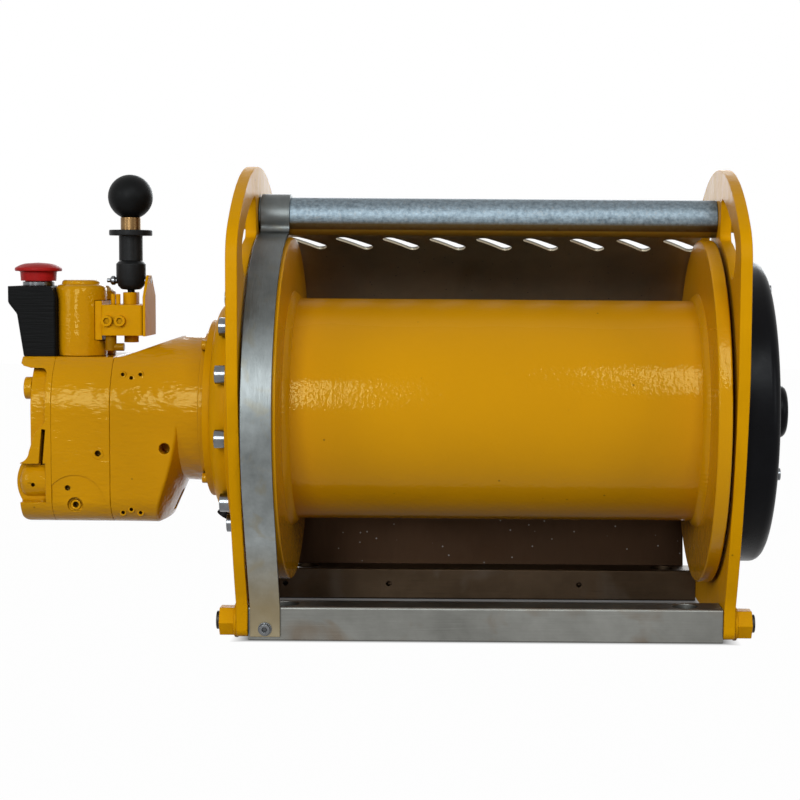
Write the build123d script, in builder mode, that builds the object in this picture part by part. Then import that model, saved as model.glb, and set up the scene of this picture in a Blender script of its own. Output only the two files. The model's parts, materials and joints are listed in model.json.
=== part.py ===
# Air winch: a rope drum between two side plates, an air gear motor with its
# lever valve on the left, and a spring brake under a round cover on the right.
# X runs along the drum axis towards the brake, Y away from the rope side, Z up.
# The origin is the centre of the base bolt pattern, on the mounting plane.
from build123d import *
import math
import os

os.makedirs("parts", exist_ok=True)

# Driving dimensions in millimetres and degrees

# Frame
axis_y = -19.0
axis_z = 195.0
plate_inner = 206.0
plate_thick = 10.0
plate_outer = plate_inner + plate_thick
arch_radius = 218.0
plate_half_width = 158.0
plate_foot_z = -192.0
bar_height = 30.0
bar_depth = 32.0
bolt_x = 174.0
bolt_y = 98.0
base_hole_radius = 11.0
stud_radius = 8.0
tube_radius = 16.85
tube_wall = 3.2
tube_height = 174.0
sheet_thick = 3.0

# Drum
drum_left = -175.5
drum_right = 190.5
flange_radius = 155.0
flange_thick = 12.0
barrel_radius = 100.0
barrel_bore = 92.0
weld_leg = 6.0
shaft_radius = 24.95
running_fit = 0.05

# Gear train: sun 12, planets 21, ring 54 teeth
gear_module = 3.0
sun_teeth = 12
planet_teeth = 21
ring_teeth = 54
pressure_angle = math.radians(25.0)
tooth_slack = 0.3
planet_orbit = gear_module * (sun_teeth + planet_teeth) / 2
gear_start = -150.0
gear_width = 44.0
planet_width = 40.0

# Air motor
motor_module = 4.0
motor_teeth = 14
rotor_drop = motor_module * motor_teeth
casing_half = 62.0
casing_top = 47.5
casing_bottom = -99.5
end_cover_x = -383.0
gear_casing_x = -331.5
valve_foot = axis_z + casing_top
neck_radius = 66.0
neck_end = -248.0
rotor_gap = 0.4
motor_shaft_radius = 12.5

# Controls
lever_x = -323.6
lever_pivot_z = 310.0
valve_x = -366.7
valve_y = -29.0
stop_x = -406.3
stop_y = -24.0

# Brake
cover_radius = 136.0
cover_face = 246.5
cover_wall = 4.0
cover_screw_circle = 119.0


def across(x, y=axis_y, z=axis_z):
    """Plane square to the drum axis: its x runs along Y, its y along Z."""
    return Plane(origin=(x, y, z), x_dir=(0, 1, 0), z_dir=(1, 0, 0))


def lengthwise(y=axis_y, z=axis_z):
    """Plane through an axis along X: its x runs along X, its y is the radius."""
    return Plane(origin=(0, y, z), x_dir=(1, 0, 0), z_dir=(0, -1, 0))


def upright(x, y):
    """Plane through a vertical axis: its x is the radius, its y is the height."""
    return Plane(origin=(x, y, 0), x_dir=(1, 0, 0), z_dir=(0, -1, 0))


def turn(profile, y=axis_y, z=axis_z, mode=Mode.ADD):
    """Turn a closed (x, radius) profile about an axis along X."""
    with BuildSketch(lengthwise(y, z)) as section:
        with BuildLine():
            Polyline(*profile, close=True)
        make_face()
    revolve(section.sketch, axis=Axis((0, y, z), (1, 0, 0)), mode=mode)


def spin(profile, x, y, mode=Mode.ADD):
    """Turn a closed (radius, height) profile about a vertical axis."""
    with BuildSketch(upright(x, y)) as section:
        with BuildLine():
            Polyline(*profile, close=True)
        make_face()
    revolve(section.sketch, axis=Axis((x, y, 0), (0, 0, 1)), mode=mode)


def ring(x_start, x_end, inner, outer, y=axis_y, z=axis_z, mode=Mode.ADD):
    """A plain ring, or a disc where the inner radius is 0, along X."""
    with BuildSketch(across(x_start, y, z)) as section:
        Circle(outer)
        if inner > 0:
            Circle(inner, mode=Mode.SUBTRACT)
    extrude(section.sketch, amount=x_end - x_start, mode=mode)


def polar(radius, degrees_from_top):
    """Point on a circle about the drum axis, angles to the rear of the top."""
    angle = math.radians(degrees_from_top)
    return (radius * math.sin(angle), radius * math.cos(angle))


def facing(x, y, z, outward):
    """Plane on a face square to Y, its normal pointing along +Y or -Y."""
    return Plane(origin=(x, y, z), x_dir=(-outward, 0, 0), z_dir=(0, outward, 0))


def save(piece, name):
    piece.part.label = name
    export_step(piece.part, f"parts/{name}.step")


# Side plates: arched plates with a curved lifting slot each side of the tie
# tube, a bore for the drum support and holes for the studs of the base bars.
slot_inner = 157.5
slot_outer = 194.5
slot_near = 10.5
slot_far = 43.0
slot_near_fillet = 7.0
slot_far_fillet = 15.0
corner_fillet = 40.0
foot_fillet = 8.0
front_foot = -98.0
rear_foot = 138.0
foot_top = -165.0
side_start = 40.0
stud_z = bar_height / 2 - axis_z
stud_ys = (-bolt_y - axis_y, bolt_y - axis_y)
flange_screw_circle = 106.0
flange_screw_angles = (71.0, 46.0, 20.0, -10.0, -47.0, -74.0)
flange_screw_spots = [
    polar(flange_screw_circle, side * (90 - angle)) for side in (-1, 1) for angle in flange_screw_angles
]
motor_bore = 70.0
brake_bore = 60.0


def plate_face():
    corner_z = math.sqrt(arch_radius**2 - plate_half_width**2)
    with BuildSketch() as slot:
        with BuildLine():
            lower = CenterArc((0, 0), slot_inner, 90 - slot_far, slot_far - slot_near)
            upper = CenterArc((0, 0), slot_outer, 90 - slot_far, slot_far - slot_near)
            Line(lower @ 0, upper @ 0)
            Line(lower @ 1, upper @ 1)
        make_face()
        fillet(slot.vertices().sort_by(Axis.X)[:2], slot_near_fillet)
        fillet(slot.vertices().sort_by(Axis.X)[-2:], slot_far_fillet)
    with BuildSketch() as face:
        with BuildLine():
            Line((front_foot, plate_foot_z), (front_foot, foot_top))
            ThreePointArc((front_foot, foot_top), (-137, -63), (-plate_half_width, side_start))
            Line((-plate_half_width, side_start), (-plate_half_width, corner_z))
            ThreePointArc((-plate_half_width, corner_z), (0, arch_radius), (plate_half_width, corner_z))
            Line((plate_half_width, corner_z), (plate_half_width, side_start))
            ThreePointArc((plate_half_width, side_start), (153, -70), (rear_foot, foot_top))
            Line((rear_foot, foot_top), (rear_foot, plate_foot_z))
            Line((rear_foot, plate_foot_z), (front_foot, plate_foot_z))
        make_face()
        fillet(face.vertices().group_by(Axis.Y)[-1], corner_fillet)
        fillet(face.vertices().group_by(Axis.Y)[0], foot_fillet)
        add(slot.sketch, mode=Mode.SUBTRACT)
        add(mirror(slot.sketch, about=Plane.YZ, mode=Mode.PRIVATE), mode=Mode.SUBTRACT)
        with Locations(*[(y, stud_z) for y in stud_ys], (0, tube_height)):
            Circle(stud_radius + 0.2, mode=Mode.SUBTRACT)
    return face.sketch


plate_profile = plate_face()

with BuildPart() as left_side_plate:
    with BuildSketch(across(-plate_outer)):
        add(plate_profile)
        Circle(motor_bore + running_fit, mode=Mode.SUBTRACT)
        with Locations(*flange_screw_spots):
            Circle(5.2, mode=Mode.SUBTRACT)
    extrude(amount=plate_thick)
save(left_side_plate, "left_side_plate")

housing_screw_circle = 72.0
cover_screw_angle = 22.0
with BuildPart() as right_side_plate:
    with BuildSketch(across(plate_inner)):
        add(plate_profile)
        Circle(brake_bore, mode=Mode.SUBTRACT)
        with PolarLocations(housing_screw_circle, 6):
            Circle(3.2, mode=Mode.SUBTRACT)
        with PolarLocations(cover_screw_circle, 4, start_angle=cover_screw_angle):
            Circle(3.0, mode=Mode.SUBTRACT)
    extrude(amount=plate_thick)
save(right_side_plate, "right_side_plate")


# Base bars: solid square bars between the plates, drilled for the base bolts
# and tapped in both ends for the studs; small tapped holes face the drum.
stud_depth = 18.0
bar_chamfer = 1.2


def base_bar(y):
    with BuildPart() as bar:
        with Locations((0, y, bar_height / 2)):
            Box(2 * plate_inner, bar_depth, bar_height)
        chamfer(bar.edges().filter_by(Axis.X), bar_chamfer)
        with Locations((-bolt_x, y, bar_height), (bolt_x, y, bar_height)):
            Hole(base_hole_radius)
        for end in (-1, 1):
            hole_end = end * (plate_inner - stud_depth)
            ring(end * plate_inner, hole_end, 0, stud_radius, y, bar_height / 2, Mode.SUBTRACT)
    return bar


strap_left = -204.0
strap_width = 26.0
strap_screw_z = 11.0
with BuildPart() as front_base_bar:
    add(base_bar(-bolt_y).part)
    with Locations(facing(strap_left + strap_width / 2, -bolt_y - bar_depth / 2, strap_screw_z, -1)):
        Hole(3.0, depth=7)
save(front_base_bar, "front_base_bar")

guard_screw_xs = (-140.0, -47.0, 47.0, 140.0)
tapped_hole_xs = (-195.0, -94.0, 92.0)
with BuildPart() as rear_base_bar:
    add(base_bar(bolt_y).part)
    with Locations(*[facing(x, bolt_y - bar_depth / 2, bar_height / 2, -1) for x in tapped_hole_xs]):
        Hole(2.5, depth=10)
    with Locations(*[facing(x, bolt_y + bar_depth / 2, bar_height / 2, 1) for x in guard_screw_xs]):
        Hole(3.0, depth=12)
save(rear_base_bar, "rear_base_bar")

# Studs, washers and nuts that pull the plates onto the bars
stud_tip = 19.0
washer_thick = 3.0
washer_radius = 15.0
nut_thick = 13.0
nut_flat = 12.0
with BuildPart() as frame_studs:
    for end in (-1, 1):
        stud_start = end * (plate_inner - stud_depth)
        stud_end = end * (plate_outer + stud_tip)
        for y in (-bolt_y, bolt_y):
            ring(stud_start, stud_end, 0, stud_radius, y, bar_height / 2)
save(frame_studs, "frame_studs")


def hexagon(x_start, x_end, flat, bore, y, z):
    """A hexagon along X with its flats above and below."""
    with BuildSketch(across(x_start, y, z)) as section:
        RegularPolygon(flat, 6, major_radius=False)
        if bore > 0:
            Circle(bore, mode=Mode.SUBTRACT)
    extrude(section.sketch, amount=x_end - x_start)


with BuildPart() as frame_nuts:
    for end in (-1, 1):
        for y in (-bolt_y, bolt_y):
            nut_start = end * (plate_outer + washer_thick)
            nut_end = end * (plate_outer + washer_thick + nut_thick)
            ring(end * plate_outer, nut_start, stud_radius, washer_radius, y, bar_height / 2)
            hexagon(nut_start, nut_end, nut_flat, stud_radius, y, bar_height / 2)
save(frame_nuts, "frame_nuts")

# Top tie tube: galvanised pipe with welded end plugs, and its two end bolts
plug_length = 25.0
tube_z = axis_z + tube_height
with BuildPart() as top_tie_tube:
    ring(-plate_inner, plate_inner, 0, tube_radius, axis_y, tube_z)
    plug_end = plate_inner - plug_length
    ring(-plug_end, plug_end, 0, tube_radius - tube_wall, axis_y, tube_z, Mode.SUBTRACT)
    for end in (-1, 1):
        ring(end * plate_inner, end * plug_end, 0, stud_radius, axis_y, tube_z, Mode.SUBTRACT)
save(top_tie_tube, "top_tie_tube")

bolt_head = 10.0
with BuildPart() as tie_tube_bolts:
    for end in (-1, 1):
        ring(end * (plate_inner - 20), end * plate_outer, 0, stud_radius, axis_y, tube_z)
        hexagon(end * plate_outer, end * (plate_outer + bolt_head), nut_flat, 0, axis_y, tube_z)
save(tie_tube_bolts, "tie_tube_bolts")

# Rear drum guard: a slotted sheet rolled round the back of the drum, welded to
# the tie tube at the top and screwed to the back of the rear bar.
guard_radius = 160.0
guard_left = -186.0
guard_right = 197.0
guard_slot_count = 9
guard_slot_pitch = 43.5
guard_slot_middle = 6.0
guard_slot_angle = 19.0
bar_top = bar_height - axis_z
guard_bend = (bolt_y + bar_depth / 2 - axis_y, bar_top)
guard_foot = (guard_bend[0], bar_top - 26)
guard_back = bolt_y + bar_depth / 2 + sheet_thick
with BuildPart() as rear_drum_guard:
    with BuildSketch(across(guard_left)):
        with BuildLine():
            reach = math.hypot(*guard_bend)
            bend_angle = math.degrees(math.atan2(guard_bend[0], guard_bend[1]))
            leave_angle = bend_angle - math.degrees(math.acos(guard_radius / reach))
            Line(guard_foot, guard_bend)
            Line(guard_bend, polar(guard_radius, leave_angle))
            CenterArc((0, 0), guard_radius, 90 - leave_angle, leave_angle - 3)
            offset(amount=sheet_thick, side=Side.RIGHT)
        make_face()
    extrude(amount=guard_right - guard_left)
    ring(-plate_inner, plate_inner, 0, tube_radius, axis_y, tube_z, Mode.SUBTRACT)
    slot_y, slot_z = polar(guard_radius, guard_slot_angle)
    slot_plane = Plane(
        origin=(guard_slot_middle, axis_y + slot_y, axis_z + slot_z),
        x_dir=(1, 0, 0),
        z_dir=(0, *polar(1, guard_slot_angle)),
    )
    with BuildSketch(slot_plane):
        with GridLocations(guard_slot_pitch, 1, guard_slot_count, 1):
            SlotCenterToCenter(30, 12, rotation=45)
    extrude(amount=12, both=True, mode=Mode.SUBTRACT)
    with Locations(*[facing(x, guard_back, bar_height / 2, 1) for x in guard_screw_xs]):
        Hole(3.2, depth=2 * sheet_thick)
save(rear_drum_guard, "rear_drum_guard")

# Flange guard strap: galvanised flat bar hooked over the tie tube, bent round
# the front of the left drum flange and screwed to the front bar.
strap_radius = 157.3
strap_bend = 9.0
strap_hook_end = 60.0
bar_front = -bolt_y - bar_depth / 2 - axis_y
strap_face = -bolt_y - bar_depth / 2 - sheet_thick
with BuildPart() as flange_guard_strap:
    with BuildSketch(across(strap_left)):
        with BuildLine():
            reach = math.hypot(bar_front, bar_top)
            foot_angle = math.degrees(math.atan2(-bar_front, bar_top))
            leave_angle = foot_angle - math.degrees(math.acos(strap_radius / reach))
            bend_orbit = strap_radius + strap_bend
            hook_orbit = tube_radius + strap_bend
            bend_z = (bend_orbit**2 - hook_orbit**2 + tube_height**2) / (2 * tube_height)
            bend_y = -math.sqrt(bend_orbit**2 - bend_z**2)
            meet_angle = math.degrees(math.atan2(bend_z, bend_y))
            hook_angle = math.degrees(math.atan2(tube_height - bend_z, -bend_y))
            Line((bar_front, bar_top - 26), (bar_front, bar_top))
            Line((bar_front, bar_top), polar(strap_radius, -leave_angle))
            CenterArc((0, 0), strap_radius, 90 + leave_angle, meet_angle - 90 - leave_angle)
            CenterArc((bend_y, bend_z), strap_bend, meet_angle + 180, 180 + hook_angle - meet_angle)
            CenterArc((0, tube_height), tube_radius, 180 + hook_angle, strap_hook_end - 180 - hook_angle)
            offset(amount=sheet_thick, side=Side.LEFT)
        make_face()
    extrude(amount=strap_width)
    with Locations(facing(strap_left + strap_width / 2, strap_face, strap_screw_z, -1)):
        Hole(3.2, depth=2 * sheet_thick)
save(flange_guard_strap, "flange_guard_strap")


# Screws of the sheet parts: socket screws with washers along Y
def sheet_screw(x, z, face_y, outward):
    """Washer, head and shank of a small socket screw seated on a sheet face."""
    seat = facing(x, face_y, z, outward)
    with BuildSketch(seat) as washer:
        Circle(6.0)
    extrude(washer.sketch, amount=1.2)
    with BuildSketch(seat.offset(1.2)) as head:
        Circle(4.6)
    extrude(head.sketch, amount=3.5)
    with BuildSketch(seat.offset(4.7)) as socket:
        RegularPolygon(2.2, 6, major_radius=False)
    extrude(socket.sketch, amount=-2, mode=Mode.SUBTRACT)
    with BuildSketch(seat) as shank:
        Circle(2.9)
    extrude(shank.sketch, amount=-9)


with BuildPart() as sheet_screws:
    sheet_screw(strap_left + strap_width / 2, strap_screw_z, strap_face, -1)
    for screw_x in guard_screw_xs:
        sheet_screw(screw_x, bar_height / 2, guard_back, 1)
save(sheet_screws, "sheet_screws")

# Drum: welded barrel, two flanges, the brake side shaft and the ring gear
with BuildPart() as drum_barrel:
    turn(
        [
            (drum_left, barrel_bore),
            (drum_left, barrel_radius + weld_leg),
            (drum_left + weld_leg, barrel_radius),
            (drum_right - weld_leg, barrel_radius),
            (drum_right, barrel_radius + weld_leg),
            (drum_right, barrel_bore),
        ]
    )
save(drum_barrel, "drum_barrel")

spigot_radius = barrel_bore - running_fit
bearing_outer = 80.0
left_hub_end = -160.0
right_hub_start = 178.0
hub_bore = 45.0
rim_round = 1.5
with BuildPart() as left_drum_flange:
    turn(
        [
            (drum_left - flange_thick, bearing_outer + running_fit),
            (drum_left - flange_thick, flange_radius),
            (drum_left, flange_radius),
            (drum_left, spigot_radius),
            (left_hub_end, spigot_radius),
            (left_hub_end, bearing_outer + running_fit),
        ]
    )
    fillet(left_drum_flange.edges().filter_by(GeomType.CIRCLE).sort_by(SortBy.RADIUS)[-2:], rim_round)
save(left_drum_flange, "left_drum_flange")

with BuildPart() as right_drum_flange:
    turn(
        [
            (drum_right + flange_thick, hub_bore),
            (drum_right + flange_thick, flange_radius),
            (drum_right, flange_radius),
            (drum_right, spigot_radius),
            (right_hub_start, spigot_radius),
            (right_hub_start, hub_bore),
        ]
    )
    fillet(right_drum_flange.edges().filter_by(GeomType.CIRCLE).sort_by(SortBy.RADIUS)[-2:], rim_round)
save(right_drum_flange, "right_drum_flange")

shaft_step = 237.0
shaft_end = 256.0
with BuildPart() as drum_shaft:
    turn(
        [
            (right_hub_start - 12, 0),
            (right_hub_start - 12, barrel_bore - 4),
            (right_hub_start, barrel_bore - 4),
            (right_hub_start, hub_bore),
            (drum_right + flange_thick, hub_bore),
            (drum_right + flange_thick, shaft_radius),
            (shaft_step, shaft_radius),
            (shaft_step, 15),
            (shaft_end, 15),
            (shaft_end, 0),
        ]
    )
save(drum_shaft, "drum_shaft")


def involute(angle):
    return math.tan(angle) - angle


def gear_outline(teeth, module, tip, root, slack):
    """Outline of an involute gear whose first tooth points along its x axis."""
    pitch_radius = module * teeth / 2
    base_radius = pitch_radius * math.cos(pressure_angle)
    half_tooth = math.pi / (2 * teeth) - slack / (2 * pitch_radius)
    radii = (root, pitch_radius, tip)
    flank = []
    for radius in radii:
        rolled = math.acos(min(1.0, base_radius / radius))
        flank.append((radius, half_tooth + involute(pressure_angle) - involute(rolled)))
    points = []
    for tooth in range(teeth):
        middle = 2 * math.pi * tooth / teeth
        for radius, half in flank:
            points.append((radius * math.cos(middle - half), radius * math.sin(middle - half)))
        for radius, half in reversed(flank):
            points.append((radius * math.cos(middle + half), radius * math.sin(middle + half)))
    with BuildSketch() as outline:
        with BuildLine():
            Polyline(*points, close=True)
        make_face()
    return outline.sketch


def outer_gear(teeth, module):
    pitch_radius = module * teeth / 2
    return gear_outline(teeth, module, pitch_radius + module, pitch_radius - 1.25 * module, tooth_slack)


ring_pitch = gear_module * ring_teeth / 2
ring_space = gear_outline(
    ring_teeth, gear_module, ring_pitch + 1.25 * gear_module, ring_pitch - 0.9 * gear_module, -tooth_slack
)
first_planet = 90.0
with BuildPart() as ring_gear:
    with BuildSketch(across(gear_start)):
        Circle(spigot_radius)
        with Locations(Location((0, 0), first_planet)):
            add(ring_space, mode=Mode.SUBTRACT)
    extrude(amount=gear_width)
save(ring_gear, "ring_gear")

# Planets on fixed pins, one tooth of each in line with a space of the ring
pin_radius = 10.0
planet_gear_outline = outer_gear(planet_teeth, gear_module)
planet_spots = [
    (
        axis_y + planet_orbit * math.cos(math.radians(first_planet + 120 * k)),
        axis_z + planet_orbit * math.sin(math.radians(first_planet + 120 * k)),
    )
    for k in range(3)
]
planet_start = gear_start + 2
for number, (planet_y, planet_z) in enumerate(planet_spots):
    with BuildPart() as planet_gear:
        with BuildSketch(across(planet_start, planet_y, planet_z)):
            with Locations(Location((0, 0), first_planet + 120 * number)):
                add(planet_gear_outline)
            Circle(pin_radius + running_fit, mode=Mode.SUBTRACT)
        extrude(amount=planet_width)
    save(planet_gear, f"planet_gear_{number + 1}")

carrier_start = -166.0
carrier_radius = 70.0
carrier_bore = 24.0
carrier_screw_circle = 45.0
with BuildPart() as planet_carrier:
    ring(carrier_start, gear_start, carrier_bore, carrier_radius)
    for planet_y, planet_z in planet_spots:
        ring(carrier_start, gear_start, 0, pin_radius, planet_y, planet_z, Mode.SUBTRACT)
    with BuildSketch(across(gear_start)):
        with PolarLocations(carrier_screw_circle, 3, start_angle=first_planet + 60):
            Circle(6.8)
    extrude(amount=-9, mode=Mode.SUBTRACT)
    with BuildSketch(across(gear_start)):
        with PolarLocations(carrier_screw_circle, 3, start_angle=first_planet + 60):
            Circle(4.2)
    extrude(amount=carrier_start - gear_start, mode=Mode.SUBTRACT)
save(planet_carrier, "planet_carrier")

pin_head = planet_start + planet_width + 1
with BuildPart() as planet_pins:
    for planet_y, planet_z in planet_spots:
        ring(carrier_start, pin_head, 0, pin_radius, planet_y, planet_z)
        ring(pin_head, pin_head + 3, 0, pin_radius + 3, planet_y, planet_z)
save(planet_pins, "planet_pins")

# Motor mounting flange: bolted to the left plate, its spigot carries the drum
# bearing and the planet carrier; the rounded boss faces the motor neck.
flange_ring_radius = 120.0
boss_radius = 97.0
boss_start = -241.0
flange_face = -223.0
hub_radius = 80.0
spigot_bearing = 60.0
through_bore = 30.0
plug_tilt = math.radians(55.0)
plug_way = (-math.cos(plug_tilt), 0, -math.sin(plug_tilt))
plug_seat = Plane(origin=(-238.0, axis_y, axis_z - 94.5), x_dir=(0, 1, 0), z_dir=plug_way)
with BuildPart() as motor_mounting_flange:
    turn(
        [
            (neck_end, through_bore),
            (neck_end, hub_radius),
            (boss_start, hub_radius),
            (boss_start, boss_radius),
            (flange_face, boss_radius),
            (flange_face, flange_ring_radius),
            (-plate_outer, flange_ring_radius),
            (-plate_outer, motor_bore),
            (-plate_inner, motor_bore),
            (-plate_inner, spigot_bearing),
            (carrier_start, spigot_bearing),
            (carrier_start, through_bore),
        ]
    )
    boss_edge = motor_mounting_flange.edges().filter_by(GeomType.CIRCLE).group_by(Axis.X)[1]
    fillet(boss_edge.sort_by(SortBy.RADIUS)[-1], 13)
    with BuildSketch(across(flange_face)):
        with Locations(*flange_screw_spots):
            Circle(5.2)
    extrude(amount=-flange_face - plate_outer, mode=Mode.SUBTRACT)
    with BuildSketch(plug_seat):
        Circle(7.0)
    extrude(amount=14, mode=Mode.SUBTRACT)
    with BuildSketch(plug_seat):
        Circle(4.0)
    extrude(amount=-9, mode=Mode.SUBTRACT)
    with BuildSketch(across(carrier_start)):
        with PolarLocations(carrier_screw_circle, 3, start_angle=first_planet + 60):
            Circle(4.0)
    extrude(amount=-18, mode=Mode.SUBTRACT)
save(motor_mounting_flange, "motor_mounting_flange")

with BuildPart() as gear_oil_plug:
    with BuildSketch(plug_seat):
        Circle(6.0)
    extrude(amount=6)
    with BuildSketch(plug_seat):
        Circle(4.0)
    extrude(amount=-8)
save(gear_oil_plug, "gear_oil_plug")


def socket_screw(seat, head_radius, head_height, shank_radius, shank_length):
    """A socket head screw whose head stands on a seat plane along its normal."""
    with BuildSketch(seat) as head:
        Circle(head_radius)
    extrude(head.sketch, amount=head_height)
    with BuildSketch(seat.offset(head_height)) as socket:
        RegularPolygon(head_radius / 2, 6, major_radius=False)
    extrude(socket.sketch, amount=-head_height / 2, mode=Mode.SUBTRACT)
    with BuildSketch(seat) as shank:
        Circle(shank_radius)
    extrude(shank.sketch, amount=-shank_length)


with BuildPart() as flange_screws:
    for spot_y, spot_z in flange_screw_spots:
        screw_seat = Plane(
            origin=(flange_face, axis_y + spot_y, axis_z + spot_z), x_dir=(0, 1, 0), z_dir=(-1, 0, 0)
        )
        socket_screw(screw_seat, 8.0, 10.0, 5.0, 16.0)
save(flange_screws, "flange_screws")

with BuildPart() as carrier_screws:
    for k in range(3):
        turn_angle = math.radians(first_planet + 60 + 120 * k)
        screw_seat = Plane(
            origin=(
                gear_start - 9,
                axis_y + carrier_screw_circle * math.cos(turn_angle),
                axis_z + carrier_screw_circle * math.sin(turn_angle),
            ),
            x_dir=(0, 1, 0),
            z_dir=(1, 0, 0),
        )
        socket_screw(screw_seat, 6.5, 8.0, 4.0, 24.0)
save(carrier_screws, "carrier_screws")

bearing_start = -186.5
bearing_end = -166.5
with BuildPart() as motor_end_bearing:
    turn(
        [
            (bearing_start, spigot_bearing),
            (bearing_start, 67),
            (bearing_start + 1.5, 67),
            (bearing_start + 1.5, 73),
            (bearing_start, 73),
            (bearing_start, bearing_outer),
            (bearing_end, bearing_outer),
            (bearing_end, 73),
            (bearing_end - 1.5, 73),
            (bearing_end - 1.5, 67),
            (bearing_end, 67),
            (bearing_end, spigot_bearing),
        ]
    )
save(motor_end_bearing, "motor_end_bearing")

with BuildPart() as drum_seal:
    turn(
        [
            (-197, spigot_bearing),
            (-197, 70),
            (-193, 70),
            (-188.2, 78),
            (-188.2, 74),
            (-191, 68),
            (-189, 66),
            (-189, spigot_bearing),
        ]
    )
save(drum_seal, "drum_seal")


# Air motor: end cover, gear casing and front casing, stacked along X
def casing_section(x, half, bottom, bottom_round):
    """Casing outline square to the drum axis: round above, rounded corners below."""
    with BuildSketch(across(x)) as section:
        with Locations((0, (half + bottom) / 2)):
            Rectangle(2 * half, half - bottom)
        fillet(section.vertices().group_by(Axis.Y)[-1], half - 0.1)
        fillet(section.vertices().group_by(Axis.Y)[0], bottom_round)
    return section.sketch


casing_round = 27.0
casing_outline = casing_section(end_cover_x, casing_half, casing_bottom, casing_round)
front_face_y = axis_y - casing_half
rotor_bore = motor_module * (motor_teeth / 2 + 1) + 0.2
idler_z = axis_z - rotor_drop
journal_radius = 9.0
journal_length = 12.0
bearing_radius = 22.0
bearing_width = 12.0


def front_drill(x, z, radius, depth, rim_radius=0.0, rim_height=1.0):
    """A small hole in the motor's front face, with a raised rim if asked for."""
    seat = facing(x, front_face_y, z, -1)
    if rim_radius > 0:
        with BuildSketch(seat.offset(rim_height - 6)) as rim:
            Circle(rim_radius)
        extrude(rim.sketch, amount=6)
    with BuildSketch(seat.offset(4)) as hole:
        Circle(radius)
    extrude(hole.sketch, amount=-depth - 4, mode=Mode.SUBTRACT)


def front_spotface(x, z, radius, depth):
    """A flat round recess in the motor's front face."""
    with BuildSketch(facing(x, front_face_y, z, -1).offset(2)) as spot:
        Circle(radius)
    extrude(spot.sketch, amount=-depth - 2, mode=Mode.SUBTRACT)


low_boss_x = -362.6
low_boss_z = 112.7
with BuildPart() as motor_gear_casing:
    extrude(casing_outline, amount=gear_casing_x - end_cover_x)
    with Locations(((end_cover_x + gear_casing_x) / 2, axis_y, valve_foot)):
        Box(
            gear_casing_x - end_cover_x,
            2 * casing_half,
            casing_half,
            align=(Align.CENTER, Align.CENTER, Align.MIN),
            mode=Mode.SUBTRACT,
        )
    front_spotface(low_boss_x, low_boss_z, 26.7, 1.2)
    front_spotface(low_boss_x, low_boss_z, 7.0, 5.2)
    front_drill(low_boss_x, low_boss_z, 2.6, 12, 4.6, -3.4)
    front_drill(-369.2, 127.8, 2.4, 8)
    front_drill(-342.0, 158.6, 2.6, 8, 5.0, 0.6)
    ring(end_cover_x, gear_casing_x, 0, rotor_bore, mode=Mode.SUBTRACT)
    ring(end_cover_x, gear_casing_x, 0, rotor_bore, axis_y, idler_z, Mode.SUBTRACT)
save(motor_gear_casing, "motor_gear_casing")

neck_start = -262.0
neck_rim_x = -253.0
neck_rim_radius = 70.0
casing_floor = axis_z + casing_bottom
cone_small = 60.0
cone_large = 140.0
cone_lean = 0.45
cone_x = -269.7
end_wall = Plane(
    origin=(cone_x, axis_y, axis_z - cone_small),
    x_dir=(cone_lean, 0, 1),
    z_dir=(1, 0, -cone_lean),
)
with BuildPart() as lower_casing:
    with BuildSketch(Plane.XY.offset(casing_floor)):
        with BuildLine():
            Polyline(
                (gear_casing_x, axis_y - casing_half + 0.3),
                (neck_start, axis_y - neck_radius + 0.4),
                (neck_start, axis_y + neck_radius - 0.4),
                (gear_casing_x, axis_y + casing_half - 0.3),
                close=True,
            )
        make_face()
    extrude(amount=-casing_bottom)
    floor_edges = lower_casing.edges().group_by(Axis.Z)[0].sort_by(Axis.Y)
    fillet([floor_edges[0], floor_edges[-1]], casing_round)
    turn(
        [
            (gear_casing_x, 0),
            (gear_casing_x, cone_large),
            (cone_x - cone_lean * (cone_large - cone_small), cone_large),
            (cone_x, cone_small),
            (cone_x, 0),
        ],
        mode=Mode.INTERSECT,
    )
    fillet(lower_casing.edges().group_by(Axis.Z)[0].sort_by(Axis.X)[-1], 3)

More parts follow.
